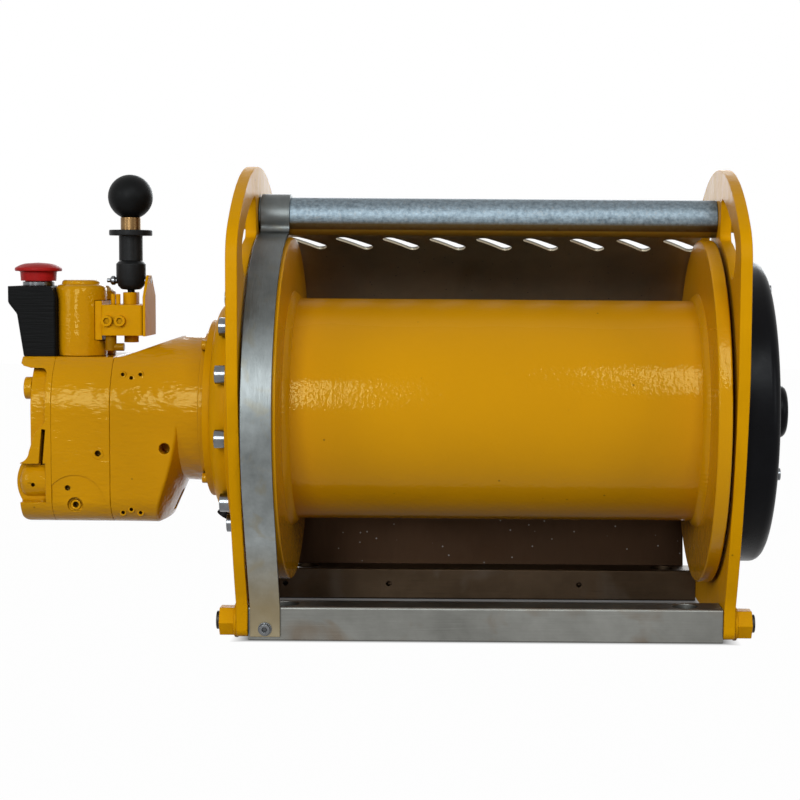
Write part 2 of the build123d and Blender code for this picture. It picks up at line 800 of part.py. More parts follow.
with BuildPart() as motor_front_casing:
    turn(
        [
            (gear_casing_x, 0),
            (gear_casing_x, casing_half),
            (neck_start, neck_radius),
            (neck_rim_x, neck_radius),
            (neck_rim_x, neck_rim_radius),
            (neck_end, neck_rim_radius),
            (neck_end, 0),
        ]
    )
    add(lower_casing.part)
    with BuildSketch(facing(0, axis_y, 0, -1)) as saddle:
        with BuildLine():
            Polyline(
                (gear_casing_x, valve_foot),
                (-325, valve_foot),
                (-274, axis_z + neck_radius),
                (neck_start, axis_z + neck_radius + 1),
                (neck_start, axis_z + neck_radius + 9),
                (gear_casing_x, axis_z + neck_radius + 9),
                close=True,
            )
        make_face()
        fillet(saddle.vertices().group_by(Axis.Y)[0].sort_by(Axis.X)[-1], 25)
    extrude(amount=2 * casing_half, both=True, mode=Mode.SUBTRACT)
    upper_row = (228.0, 225.0, -7.0, -6.4)
    lower_row = (106.0, 109.0, -4.0, -2.2)
    for corner_z, middle_z, corner_rim, middle_rim in (upper_row, lower_row):
        front_drill(-321.0, corner_z, 1.6, 15, 2.9, corner_rim)
        front_drill(-313.3, middle_z, 1.6, 15, 2.9, middle_rim)
        front_drill(-305.3, corner_z, 1.6, 15, 2.9, corner_rim + 0.6)
    front_drill(-283.1, 163.5, 4.8, 18)
    with BuildSketch(end_wall):
        with Locations((-27, 0)):
            RectangleRounded(21, 14, 3)
    extrude(amount=12, both=True, mode=Mode.SUBTRACT)
    ring(gear_casing_x, neck_end, 0, 20, mode=Mode.SUBTRACT)
    ring(gear_casing_x, gear_casing_x + bearing_width, 0, bearing_radius, mode=Mode.SUBTRACT)
    ring(
        gear_casing_x,
        gear_casing_x + journal_length + 1,
        0,
        journal_radius + running_fit,
        axis_y,
        idler_z,
        Mode.SUBTRACT,
    )
save(motor_front_casing, "motor_front_casing")

cover_wall_x = -403.0
lip_x = -412.6
lip_bottom = 237.0
rim_left = -388.5
recess_top = 232.8
recess_depth = 8.0
gallery_x = -398.0
gallery_z = 128.5
casing_back = axis_y + casing_half
inlet_radius = 9.3
inlet_depth = 18.0
top_screw_spots = ((-40, 19.5), (40, 19.5))
low_screw_spots = ((-40, -22), (40, -22))
low_screw_depth = 4.0


def inset_casing():
    """Sketch of the casing outline drawn in, where the end cover is narrower."""
    return casing_section(
        end_cover_x, casing_half - recess_depth, casing_bottom + 5, casing_round - recess_depth
    )


with BuildPart() as upper_recess:
    with BuildSketch(facing(0, casing_back + 1, 0, -1)) as recess:
        with BuildLine():
            Polyline(
                (-420, recess_top),
                (rim_left, recess_top),
                (rim_left, 186),
                (-397.8, 175.6),
                (-403.3, 158),
                (-420, 158),
                close=True,
            )
        make_face()
        fillet(recess.vertices().group_by(Axis.Y)[-1].sort_by(Axis.X)[-1], 5)
    extrude(amount=2 * casing_half + 2)
    extrude(inset_casing(), amount=-40, mode=Mode.SUBTRACT)

with BuildPart() as gallery_recess:
    with Locations((rim_left, axis_y, gallery_z + 3.5)):
        Box(40, casing_half + 1, 34.5, align=(Align.MAX, Align.MAX, Align.CENTER))
    extrude(inset_casing(), amount=-40, mode=Mode.SUBTRACT)

with BuildPart() as motor_end_cover:
    with BuildSketch(facing(0, casing_back, 0, -1)):
        with BuildLine():
            Polyline(
                (end_cover_x, casing_floor),
                (end_cover_x, valve_foot),
                (lip_x, valve_foot),
                (lip_x, lip_bottom),
                (-409.8, 234.6),
                (cover_wall_x, recess_top),
                (cover_wall_x, 158),
            )
            ThreePointArc((cover_wall_x, 158), (-405.5, 153.2), (-410.4, 150))
            ThreePointArc((-410.4, 150), (-415.4, 132), (-411.2, 116.5))
            Line((-411.2, 116.5), (-411.2, 103.2))
            ThreePointArc((-411.2, 103.2), (-409, 97.7), (-403.5, casing_floor))
            Line((-403.5, casing_floor), (end_cover_x, casing_floor))
        make_face()
    extrude(amount=2 * casing_half)
    extrude(casing_outline, amount=-40, mode=Mode.INTERSECT)
    add(upper_recess.part, mode=Mode.SUBTRACT)
    add(gallery_recess.part, mode=Mode.SUBTRACT)
    boss_y = front_face_y + 18.5
    turn(
        [(rim_left, 0), (rim_left, 17), (-406, 17), (-410, 15.3), (-412.6, 11.5), (-412.6, 0)],
        boss_y,
        gallery_z + 4.5,
    )
    counterbore_end = cover_wall_x + low_screw_depth
    for spot_y, spot_z in low_screw_spots:
        ring(cover_wall_x, counterbore_end, 0, 6.5, axis_y + spot_y, axis_z + spot_z, Mode.SUBTRACT)
    with Locations(facing(gallery_x, casing_back, gallery_z, 1)):
        Hole(inlet_radius, depth=inlet_depth)
    with Locations((-391.3, front_face_y, 163)):
        Box(3.2, 24, 33, rotation=(0, 5, 0), mode=Mode.SUBTRACT)
    front_drill(-399.8, 130.3, 1.8, 10)
    ring(end_cover_x - bearing_width, end_cover_x, 0, bearing_radius, mode=Mode.SUBTRACT)
    ring(
        end_cover_x - journal_length - 1,
        end_cover_x,
        0,
        journal_radius + running_fit,
        axis_y,
        idler_z,
        Mode.SUBTRACT,
    )
save(motor_end_cover, "motor_end_cover")

# Motor screws: four round the neck flange, four in the end cover
neck_bolt_circle = 75.0
neck_bolt_angle = 52.0
with BuildPart() as motor_screws:
    for side in (-1, 1):
        for sign in (-1, 1):
            turn_angle = math.radians(neck_bolt_angle)
            bolt_spot_y = axis_y + side * neck_bolt_circle * math.cos(turn_angle)
            bolt_spot_z = axis_z + sign * neck_bolt_circle * math.sin(turn_angle)
            ring(neck_end, neck_end - 4.5, 0, 4.6, bolt_spot_y, bolt_spot_z)
    for spot_y, spot_z in top_screw_spots:
        ring(cover_wall_x, cover_wall_x - 6.8, 4.0, 10.0, axis_y + spot_y, axis_z + spot_z)
    for spot_y, spot_z in low_screw_spots:
        ring(cover_wall_x, counterbore_end, 2.5, 6.1, axis_y + spot_y, axis_z + spot_z)
save(motor_screws, "motor_screws")

# Motor rotors: the drive gear on the motor shaft meshes with the idler below
motor_gear = outer_gear(motor_teeth, motor_module)
with BuildPart() as motor_drive_gear:
    with BuildSketch(across(end_cover_x + rotor_gap)):
        with Locations(Location((0, 0), -90)):
            add(motor_gear)
        Circle(motor_shaft_radius, mode=Mode.SUBTRACT)
    extrude(amount=gear_casing_x - end_cover_x - 2 * rotor_gap)
save(motor_drive_gear, "motor_drive_gear")

with BuildPart() as motor_idler_gear:
    with BuildSketch(across(end_cover_x + rotor_gap, axis_y, idler_z)):
        with Locations(Location((0, 0), 90 + 180 / motor_teeth)):
            add(motor_gear)
    extrude(amount=gear_casing_x - end_cover_x - 2 * rotor_gap)
    ring(end_cover_x - journal_length, gear_casing_x + journal_length, 0, journal_radius, axis_y, idler_z)
save(motor_idler_gear, "motor_idler_gear")

shaft_joint = -250.0
with BuildPart() as motor_shaft:
    ring(end_cover_x - bearing_width + rotor_gap, shaft_joint, 0, motor_shaft_radius)
save(motor_shaft, "motor_shaft")

with BuildPart() as motor_bearings:
    for start in (end_cover_x - bearing_width, gear_casing_x):
        ring(start, start + bearing_width, motor_shaft_radius + running_fit, bearing_radius)
save(motor_bearings, "motor_bearings")

with BuildPart() as sun_pinion:
    ring(shaft_joint, gear_start, 0, motor_shaft_radius)
    ring(shaft_joint - 12, shaft_joint + 10, motor_shaft_radius, 18)
    with BuildSketch(across(gear_start)):
        with Locations(Location((0, 0), first_planet)):
            add(outer_gear(sun_teeth, gear_module))
    extrude(amount=gear_width)
save(sun_pinion, "sun_pinion")

# Control valve: a round body with a lower lobe behind it, on the motor's flat
valve_radius = 23.0
valve_top = 305.0
valve_face = -351.4
with BuildPart() as valve_body:
    spin(
        [
            (0, valve_foot),
            (valve_radius, valve_foot),
            (valve_radius, valve_top - 4.5),
            (22.2, valve_top - 1.4),
            (20.2, valve_top + 0.7),
            (17.2, valve_top + 1.5),
            (16.5, valve_top + 4.2),
            (15, valve_top + 5.3),
            (0, valve_top + 5.3),
        ],
        valve_x,
        valve_y,
    )
    spin(
        [(0, valve_foot), (18, valve_foot), (18, valve_top - 5), (13, valve_top), (0, valve_top)],
        valve_x + 8,
        valve_y + 24,
    )
    with Locations((valve_face, valve_y, 274.5)):
        Box(40, 120, 35.5, align=(Align.MIN, Align.CENTER, Align.CENTER), mode=Mode.SUBTRACT)
save(valve_body, "valve_body")

# Lever block: bolted to the valve's flat, holds the throttle spool
block_left = -345.0
block_right = -307.8
block_front = -49.0
block_back = 9.0
block_bottom = 261.0
block_top = 288.4
block_screw_xs = (-339.3, -327.7)
block_screw_z = 274.3
turret_width = 12.4
turret_top = 299.4
spool_z = 275.0
spool_radius = 6.0
with BuildPart() as lever_block:
    with BuildSketch(Plane.XY.offset(block_bottom)):
        with Locations(((block_left + block_right) / 2, (block_front + block_back) / 2)):
            RectangleRounded(block_right - block_left, block_back - block_front, 3)
    extrude(amount=block_top - block_bottom)
    with Locations(((valve_face + block_left) / 2, -20, 274.5)):
        Box(block_left - valve_face, 50, 35)
    with BuildSketch(Plane.XY.offset(block_top)):
        with Locations((lever_x, axis_y)):
            SlotOverall(23.4, turret_width, rotation=90)
    extrude(amount=turret_top - block_top)
    with Locations((-336.9, -34, block_top), (-332.5, -34, block_top)):
        Cylinder(2.1, 9.6, align=(Align.CENTER, Align.CENTER, Align.MIN))
    with Locations((lever_x, axis_y, block_bottom)):
        Cylinder(6.5, 7, align=(Align.CENTER, Align.CENTER, Align.MAX))
    with BuildSketch(facing(lever_x, block_back, spool_z, 1)):
        Circle(spool_radius + running_fit)
    extrude(amount=-51.8, mode=Mode.SUBTRACT)
    with BuildSketch(Plane.XY.offset(spool_z)):
        with Locations((lever_x, axis_y)):
            Rectangle(14, 34)
    extrude(amount=block_top - 3 - spool_z, mode=Mode.SUBTRACT)
    with BuildSketch(Plane.XY.offset(spool_z)):
        with Locations((lever_x, axis_y)):
            SlotOverall(20.4, 8, rotation=90)
    extrude(amount=30, mode=Mode.SUBTRACT)
    with Locations(*[facing(x, block_front, block_screw_z, -1) for x in block_screw_xs]):
        Hole(2.5, depth=5.4)
save(lever_block, "lever_block")

with BuildPart() as lever_block_screws:
    for screw_x in block_screw_xs:
        socket_screw(facing(screw_x, block_front, block_screw_z, -1), 4.9, 4.5, 2.5, 5.0)
save(lever_block_screws, "lever_block_screws")

with BuildPart() as throttle_spool:
    with BuildSketch(facing(lever_x, axis_y, spool_z, 1)):
        Circle(spool_radius)
    extrude(amount=15, both=True)
    with Locations((lever_x, axis_y, spool_z + 1.5)):
        Box(20, 9.4, 20, align=(Align.CENTER, Align.CENTER, Align.MIN), mode=Mode.SUBTRACT)
save(throttle_spool, "throttle_spool")

with BuildPart() as pilot_fitting:
    with Locations((-338.0, -40.0, block_bottom)):
        Cylinder(5, block_bottom - valve_foot - 5, align=(Align.CENTER, Align.CENTER, Align.MAX))
    with Locations((-338.0, -40.0, valve_foot + 8)):
        Cylinder(3.5, 12, rotation=(0, 90, 0), align=(Align.CENTER, Align.CENTER, Align.MIN))
save(pilot_fitting, "pilot_fitting")

side_plate_thick = 2.5
side_plate_back = 2.5
pivot_pin_radius = 3.0
with BuildPart() as lever_side_plate:
    with BuildSketch(across(block_right, axis_y, 0)):
        with Locations((0, lever_pivot_z)):
            Circle(5)
        with Locations((-10, lever_pivot_z)):
            Circle(5)
        with Locations(((block_front + side_plate_back) / 2 - axis_y, 278)):
            Rectangle(side_plate_back - block_front, 35)
        make_hull()
        with Locations((0, lever_pivot_z)):
            Circle(pivot_pin_radius, mode=Mode.SUBTRACT)
    extrude(amount=side_plate_thick)
save(lever_side_plate, "lever_side_plate")

with BuildPart() as lever_pivot_pin:
    turn(
        [
            (block_right + side_plate_thick, 0),
            (block_right + side_plate_thick, pivot_pin_radius),
            (-337.2, pivot_pin_radius),
            (-338.2, 4.2),
            (-340.6, 4.2),
            (-342, 3),
            (-342, 1.9),
            (-345.2, 1.9),
            (-345.2, 0),
        ],
        axis_y,
        lever_pivot_z,
    )
save(lever_pivot_pin, "lever_pivot_pin")

# Control lever: hub on the pivot pin, brass tube, ball knob, lifting sleeve
hub_top = 327.5
knob_z = 385.4
knob_radius = 20.0
knob_flat = 367.0
with BuildPart() as lever_hub:
    spin(
        [
            (0, 278),
            (3.2, 278),
            (3.2, 301.5),
            (8.5, 302),
            (11.5, 305),
            (13.2, 311),
            (13.2, 325),
            (10.7, hub_top),
            (0, hub_top),
        ],
        lever_x,
        axis_y,
    )
    ring(lever_x - 20, lever_x + 20, 0, pivot_pin_radius + running_fit, axis_y, lever_pivot_z, Mode.SUBTRACT)
save(lever_hub, "lever_hub")

with BuildPart() as lever_tube:
    spin(
        [
            (0, hub_top),
            (9, hub_top),
            (9, knob_flat),
            (5, knob_flat),
            (5, knob_flat + 14),
            (0, knob_flat + 14),
        ],
        lever_x,
        axis_y,
    )
save(lever_tube, "lever_tube")

with BuildPart() as lever_knob:
    with Locations((lever_x, axis_y, knob_z)):
        Sphere(knob_radius)
    with Locations((lever_x, axis_y, knob_flat)):
        Box(60, 60, 30, align=(Align.CENTER, Align.CENTER, Align.MAX), mode=Mode.SUBTRACT)
        Cylinder(5, 14, align=(Align.CENTER, Align.CENTER, Align.MIN), mode=Mode.SUBTRACT)
save(lever_knob, "lever_knob")

sleeve_bore = 9.1
with BuildPart() as lock_sleeve:
    spin(
        [
            (sleeve_bore, hub_top + 0.2),
            (10.6, hub_top + 0.2),
            (10.6, 350.5),
            (19.3, 350.5),
            (19.3, 355.6),
            (sleeve_bore, 355.6),
        ],
        lever_x,
        axis_y,
    )
save(lock_sleeve, "lock_sleeve")

# Emergency stop: moulded housing on the end cover's lip, bezel, red button
stop_top = 304.6
stem_radius = 12.0
with BuildPart() as stop_housing:
    with BuildSketch(facing(0, -54, 0, -1)) as stop_outline:
        with BuildLine():
            Polyline(
                (-413.5, valve_foot),
                (-419.2, 280),
                (-427.0, 290),
                (-427.0, stop_top),
                (-388, stop_top),
                (-384, stop_top - 10),
                (-384, valve_foot),
                close=True,
            )
        make_face()
        fillet(stop_outline.vertices().sort_by(Axis.X)[:3].sort_by(Axis.Y)[:2], 6)
    extrude(amount=-60)
    fillet(stop_housing.edges().filter_by(Axis.Z), 3)
    with Locations((stop_x, stop_y, stop_top)):
        Hole(stem_radius + 0.4, depth=20)
    with Locations((valve_x, valve_y, 260)):
        Cylinder(valve_radius + 0.4, 200, mode=Mode.SUBTRACT)
save(stop_housing, "stop_housing")

bezel_top = 308.4
with BuildPart() as stop_bezel:
    with Locations((stop_x, stop_y, stop_top)):
        Cylinder(14, bezel_top - stop_top, align=(Align.CENTER, Align.CENTER, Align.MIN))
        Hole(stem_radius + running_fit)
save(stop_bezel, "stop_bezel")

with BuildPart() as stop_button:
    spin(
        [
            (0, 292),
            (stem_radius, 292),
            (stem_radius, 314),
            (14.4, 314),
            (14.4, 309.2),
            (15.6, 309.2),
            (16.2, 317.6),
            (20.5, 318),
            (21.0, 319.5),
            (20.5, 321),
            (14, 324.6),
            (0, 325.6),
        ],
        stop_x,
        stop_y,
    )
save(stop_button, "stop_button")

# Brake end: bearing housing in the right plate, and the spring brake
housing_flange = 226.0
housing_radius = 85.0
bearing_seat = 45.0
brake_bearing_start = 206.5
brake_bearing_end = 221.0
with BuildPart() as brake_bearing_housing:
    turn(
        [
            (205, bearing_seat),
            (205, brake_bore - running_fit),
            (plate_outer, brake_bore - running_fit),
            (plate_outer, housing_radius),
            (housing_flange, housing_radius),
            (housing_flange, 38),
            (brake_bearing_end, 38),
            (brake_bearing_end, bearing_seat),
        ]
    )
    with BuildSketch(across(housing_flange)):
        with PolarLocations(housing_screw_circle, 6):
            Circle(5.3)
    extrude(amount=-6.4, mode=Mode.SUBTRACT)
    with BuildSketch(across(housing_flange)):
        with PolarLocations(housing_screw_circle, 6):
            Circle(3.2)
    extrude(amount=plate_outer - housing_flange, mode=Mode.SUBTRACT)
save(brake_bearing_housing, "brake_bearing_housing")

with BuildPart() as brake_end_bearing:
    turn(
        [
            (brake_bearing_start, shaft_radius + running_fit),
            (brake_bearing_start, 31),
            (brake_bearing_start + 1, 31),
            (brake_bearing_start + 1, 39),
            (brake_bearing_start, 39),
            (brake_bearing_start, bearing_seat),
            (brake_bearing_end, bearing_seat),
            (brake_bearing_end, shaft_radius + running_fit),
        ]
    )
save(brake_end_bearing, "brake_end_bearing")

disc_radius = 66.0
lining_inner = 40.0
lining_outer = 65.0
disc_start = 229.4
disc_end = 235.0
piston_start = 235.4
piston_end = 240.4
cover_inside = cover_face - cover_wall
guide_circle = 78.0
spring_circle = 54.0
with BuildPart() as brake_disc:
    ring(disc_start, disc_end, shaft_radius, disc_radius)
save(brake_disc, "brake_disc")

with BuildPart() as brake_lining:
    ring(housing_flange, housing_flange + 3, lining_inner, lining_outer)
save(brake_lining, "brake_lining")

with BuildPart() as brake_piston:
    ring(piston_start, piston_end, lining_inner, housing_radius)
    with BuildSketch(across(piston_end)):
        with PolarLocations(spring_circle, 6):
            Circle(5.5)
    extrude(amount=-4, mode=Mode.SUBTRACT)
    with BuildSketch(across(piston_end)):
        with PolarLocations(guide_circle, 3):
            Circle(3.0 + running_fit)
    extrude(amount=-10, mode=Mode.SUBTRACT)
save(brake_piston, "brake_piston")

with BuildPart() as brake_guide_pins:
    with BuildSketch(across(housing_flange)):
        with PolarLocations(guide_circle, 3):
            Circle(3.0)
    extrude(amount=cover_inside - housing_flange)
save(brake_guide_pins, "brake_guide_pins")

with BuildPart() as brake_springs:
    with BuildSketch(across(cover_inside - 4.6)):
        with PolarLocations(spring_circle, 6):
            Circle(5.0)
            Circle(2.6, mode=Mode.SUBTRACT)
    extrude(amount=4.6)
save(brake_springs, "brake_springs")

# Brake cover: spun pan with a rounded edge, four screws and the hub cap
cap_radius = 24.0
cap_end = 272.0
with BuildPart() as brake_cover:
    turn(
        [
            (plate_outer, cover_radius - cover_wall),
            (plate_outer, cover_radius),
            (cover_face, cover_radius),
            (cover_face, 18),
            (cover_inside, 18),
            (cover_inside, cover_radius - cover_wall),
        ]
    )
    face_edges = brake_cover.edges().filter_by(GeomType.CIRCLE).group_by(Axis.X)[-1]
    fillet(face_edges.sort_by(SortBy.RADIUS)[-1], 9)
    with BuildSketch(across(cover_face)):
        with PolarLocations(cover_screw_circle, 4, start_angle=cover_screw_angle):
            Circle(3.3)
    extrude(amount=-2 * cover_wall, mode=Mode.SUBTRACT)
save(brake_cover, "brake_cover")

with BuildPart() as brake_screws:
    for k in range(6):
        turn_angle = math.radians(60 * k)
        screw_seat = Plane(
            origin=(
                housing_flange - 6.4,
                axis_y + housing_screw_circle * math.cos(turn_angle),
                axis_z + housing_screw_circle * math.sin(turn_angle),
            ),
            x_dir=(0, 1, 0),
            z_dir=(1, 0, 0),
        )
        socket_screw(screw_seat, 5.0, 6.0, 3.0, 13.0)
    for k in range(4):
        turn_angle = math.radians(cover_screw_angle + 90 * k)
        screw_seat = Plane(
            origin=(
                cover_face,
                axis_y + cover_screw_circle * math.cos(turn_angle),
                axis_z + cover_screw_circle * math.sin(turn_angle),
            ),
            x_dir=(0, 1, 0),
            z_dir=(1, 0, 0),
        )
        socket_screw(screw_seat, 5.2, 3.0, 3.0, cover_face - plate_outer + 5)
save(brake_screws, "brake_screws")

with BuildPart() as brake_hub_cap:
    turn(
        [
            (cover_face, 19),
            (cover_face, cap_radius),
            (cap_end, cap_radius),
            (cap_end, 0),
            (cap_end - 6, 0),
            (cap_end - 6, 19),
        ]
    )
    fillet(brake_hub_cap.edges().filter_by(GeomType.CIRCLE).group_by(Axis.X)[-1], 6)
save(brake_hub_cap, "brake_hub_cap")
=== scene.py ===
import json
import math
import bmesh
import bpy
from mathutils import Matrix, Vector

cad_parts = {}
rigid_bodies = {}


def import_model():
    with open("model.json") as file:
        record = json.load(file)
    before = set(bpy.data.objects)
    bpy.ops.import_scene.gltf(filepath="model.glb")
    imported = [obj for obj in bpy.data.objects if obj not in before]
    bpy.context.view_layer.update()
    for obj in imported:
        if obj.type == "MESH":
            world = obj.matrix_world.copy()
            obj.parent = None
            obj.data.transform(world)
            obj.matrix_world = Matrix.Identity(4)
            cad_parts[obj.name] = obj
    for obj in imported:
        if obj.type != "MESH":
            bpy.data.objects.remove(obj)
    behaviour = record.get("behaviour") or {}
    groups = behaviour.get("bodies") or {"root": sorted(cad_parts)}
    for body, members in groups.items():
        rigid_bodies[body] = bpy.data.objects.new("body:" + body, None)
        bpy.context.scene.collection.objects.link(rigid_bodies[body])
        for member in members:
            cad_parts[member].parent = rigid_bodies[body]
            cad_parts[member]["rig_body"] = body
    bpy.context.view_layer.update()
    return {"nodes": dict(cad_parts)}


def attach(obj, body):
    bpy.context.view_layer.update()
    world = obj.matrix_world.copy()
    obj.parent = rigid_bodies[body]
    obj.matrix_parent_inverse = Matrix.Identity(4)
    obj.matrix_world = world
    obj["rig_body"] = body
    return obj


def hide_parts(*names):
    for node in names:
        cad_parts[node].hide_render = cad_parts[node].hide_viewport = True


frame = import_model()
bpy.context.scene.view_settings.view_transform = "Standard"


# Side plates: two arched plates of 10 mm steel that carry the drum between
# them, flame cut, with their edges broken, and sprayed with thick orange enamel.
def finish(name):
    """A new finish: the material, its tree, its one shader and Object coordinates."""
    made = bpy.data.materials.new(name)
    made.use_nodes = True
    tree = made.node_tree
    where = tree.nodes.new("ShaderNodeTexCoord").outputs["Object"]
    return made, tree, tree.nodes["Principled BSDF"], where


def feed(tree, socket, value):
    """Give a socket a plain value or another node's output."""
    if isinstance(value, bpy.types.NodeSocket):
        tree.links.new(value, socket)
    else:
        socket.default_value = value


def wired(tree, kind, settings=(), **sockets):
    """Add a shading node and feed its sockets by name."""
    made = tree.nodes.new("ShaderNode" + kind)
    for key, value in dict(settings).items():
        setattr(made, key, value)
    for key, value in sockets.items():
        feed(tree, made.inputs[key.replace("_", " ")], value)
    return made


def combined(tree, operation, first, second):
    """Two values put together by one step of arithmetic."""
    made = wired(tree, "Math", {"operation": operation})
    feed(tree, made.inputs[0], first)
    feed(tree, made.inputs[1], second)
    return made.outputs[0]


def spread(tree, value, low, high, start=0.3, end=0.7):
    """A value between start and end moved into the range from low to high."""
    return wired(
        tree, "MapRange", Value=value, From_Min=start, From_Max=end, To_Min=low, To_Max=high
    ).outputs["Result"]


def layered(tree, under, over, share):
    """One colour laid over another by a share from 0 to 1."""
    return wired(tree, "MixRGB", Fac=share, Color1=under, Color2=over).outputs["Color"]


def noise(tree, where, scale, detail, **more):
    """Cloudy noise from 0 to 1."""
    return wired(tree, "TexNoise", Vector=where, Scale=scale, Detail=detail, **more).outputs["Fac"]


def specks(tree, where, scale):
    """The distance from the nearest of many scattered points."""
    return wired(tree, "TexVoronoi", Vector=where, Scale=scale, Randomness=1.0).outputs["Distance"]


def openness(tree, distance):
    """One on an open face, less in holes and corners of about this size in metres."""
    return wired(tree, "AmbientOcclusion", {"samples": 8}, Distance=distance).outputs["AO"]


def stretched(tree, where, scale):
    """Coordinates scaled by a number for each axis."""
    return wired(tree, "Mapping", Vector=where, Scale=scale).outputs["Vector"]


def bumped(tree, height, depth, **more):
    """A normal that follows a height, with the depth in metres."""
    return wired(tree, "Bump", Strength=0.5, Distance=depth, Height=height, **more).outputs["Normal"]


dust_brown = (0.16, 0.075, 0.004, 1)
grime_and_shade_brown = (0.045, 0.018, 0.002, 1)
glint_tint = (0.90, 0.80, 0.30, 1)


def enamel(
    name, dark, light, peel_scale, peel_depth, wave_depth, rough, level,
    stretch=(1, 1, 1), fading=None, hollow_shade_share=0.85,
):
    """Sprayed enamel: uneven film, orange peel over longer waves, specks of dust, grime and painted shade
    in the hollows.

    Where fading is given, its share is added to the roughness.
    """
    made, tree, shader, where = finish(name)
    film = noise(tree, where, 8.0, 4.0, Roughness=0.6)
    tone = layered(tree, dark, light, spread(tree, film, 0, 1))
    dust = spread(tree, specks(tree, where, 38.0), 0.75, 0.0, 0.02, 0.05)
    tone = layered(tree, tone, dust_brown, dust)
    # Hollows and corners are darkened by their openness: painted shade, with some grime.
    hollow_grime_and_shade = spread(tree, openness(tree, 0.006), hollow_shade_share, 0.0, 0.15, 0.62)
    tone = layered(tree, tone, grime_and_shade_brown, hollow_grime_and_shade)
    peel = noise(tree, stretched(tree, where, stretch), peel_scale, 1.5)
    wave = noise(tree, where, peel_scale / 5, 1.0)
    skin = bumped(tree, wave, wave_depth, Normal=bumped(tree, peel, peel_depth))
    matt = spread(tree, film, rough - 0.03, rough + 0.06)
    if fading:
        matt = combined(tree, "ADD", matt, fading(tree, where))
    feed(tree, shader.inputs["Base Color"], tone)
    feed(tree, shader.inputs["Roughness"], matt)
    feed(tree, shader.inputs["Normal"], skin)
    shader.inputs["Specular IOR Level"].default_value = level
    shader.inputs["Specular Tint"].default_value = glint_tint
    return made


sharp_angle = math.radians(34)
corner_turn = 0.55
straight_turn = 0.02
neighbour_share = 0.45
bend_share = 0.2


def run_of(seam):
    """The sharp edges that carry on from one edge without a corner, tagged as taken."""
    run = [seam]
    seam.tag = True
    for member in run:
        for point in member.verts:
            along = point.co - member.other_vert(point).co
            for other in point.link_edges:
                onward = other.other_vert(point).co - point.co
                if not other.tag and along.angle(onward, math.pi) < corner_turn:
                    other.tag = True
                    run.append(other)
    return run


def room_at(seam):
    """How wide an edge can be eased, in metres, by the size of its neighbours and its bend."""
    room = 1.0
    for loop in seam.link_loops:
        following = loop.link_loop_next
        for corner, beside in ((following, following.edge), (loop, loop.link_loop_prev.edge)):
            angle = corner.calc_angle()
            turn = math.pi - angle
            reach = beside.calc_length()
            if beside.smooth:
                room = min(room, neighbour_share * reach * math.sin(min(angle, math.pi / 2)))
            else:
                room = min(room, neighbour_share * reach * math.tan(min(angle, 3.1) / 2))
                if straight_turn < turn < corner_turn:
                    bend_radius = (reach + seam.calc_length()) / 2 / turn
                    room = min(room, bend_share * bend_radius)
    return room


def placed(work, name, node, coat, edge=0.0):
    """Make a bmesh a finished piece on a node's body, its sharp edges eased by up to edge millimetres."""
    bmesh.ops.recalc_face_normals(work, faces=work.faces)
    for face in work.faces:
        face.smooth = True
    easing = work.edges.layers.float.new("bevel_weight_edge")
    for seam in work.edges:
        seam.smooth = seam.calc_face_angle(0.0) < sharp_angle
        seam.tag = seam.smooth
    for seam in work.edges if edge else ():
        run = [] if seam.tag else run_of(seam)
        share = min([1.0] + [room_at(member) / edge * 1000 for member in run])
        for member in run:
            member[easing] = share
    mesh = bpy.data.meshes.new(name)
    work.to_mesh(mesh)
    work.free()
    mesh.materials.append(coat)
    piece = bpy.data.objects.new(name, mesh)
    bpy.context.scene.collection.objects.link(piece)
    if edge:
        ease = piece.modifiers.new("eased edges", "BEVEL")
        ease.width = edge / 1000
        ease.segments = 2
        ease.limit_method = "WEIGHT"
        ease.use_clamp_overlap = False
        ease.harden_normals = True
    else:
        piece.modifiers.new("even shading", "WEIGHTED_NORMAL").keep_sharp = True
    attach(piece, frame["nodes"][node]["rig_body"])
    return piece


def eased(node, coat, edge):
    """A machined piece with its facets joined into smooth faces and its edges eased."""
    work = bmesh.new()
    work.from_mesh(frame["nodes"][node].data)
    bmesh.ops.remove_doubles(work, verts=work.verts, dist=5e-5)
    bmesh.ops.dissolve_limit(work, angle_limit=0.003, verts=work.verts, edges=work.edges)
    piece = placed(work, node + "_dressed", node, coat, edge)
    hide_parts(node)


orange_enamel = enamel(
    "orange_enamel", dark=(0.562, 0.248, 0.001, 1), light=(0.660, 0.295, 0.001, 1),
    peel_scale=230.0, peel_depth=0.0005, wave_depth=0.0016, rough=0.40, level=0.08,
)
for side in ("left", "right"):
    eased(side + "_side_plate", orange_enamel, edge=1.0)


# Base bars: two thick bars of drawn stainless steel between the plate feet, with mill marks along them and
# brown stains, drilled for the base bolts. The rear bar's copy is darker and browner, painted shade and
# painted reflection of the drum above it.
recess_shade_black = (0.008, 0.007, 0.006, 1)


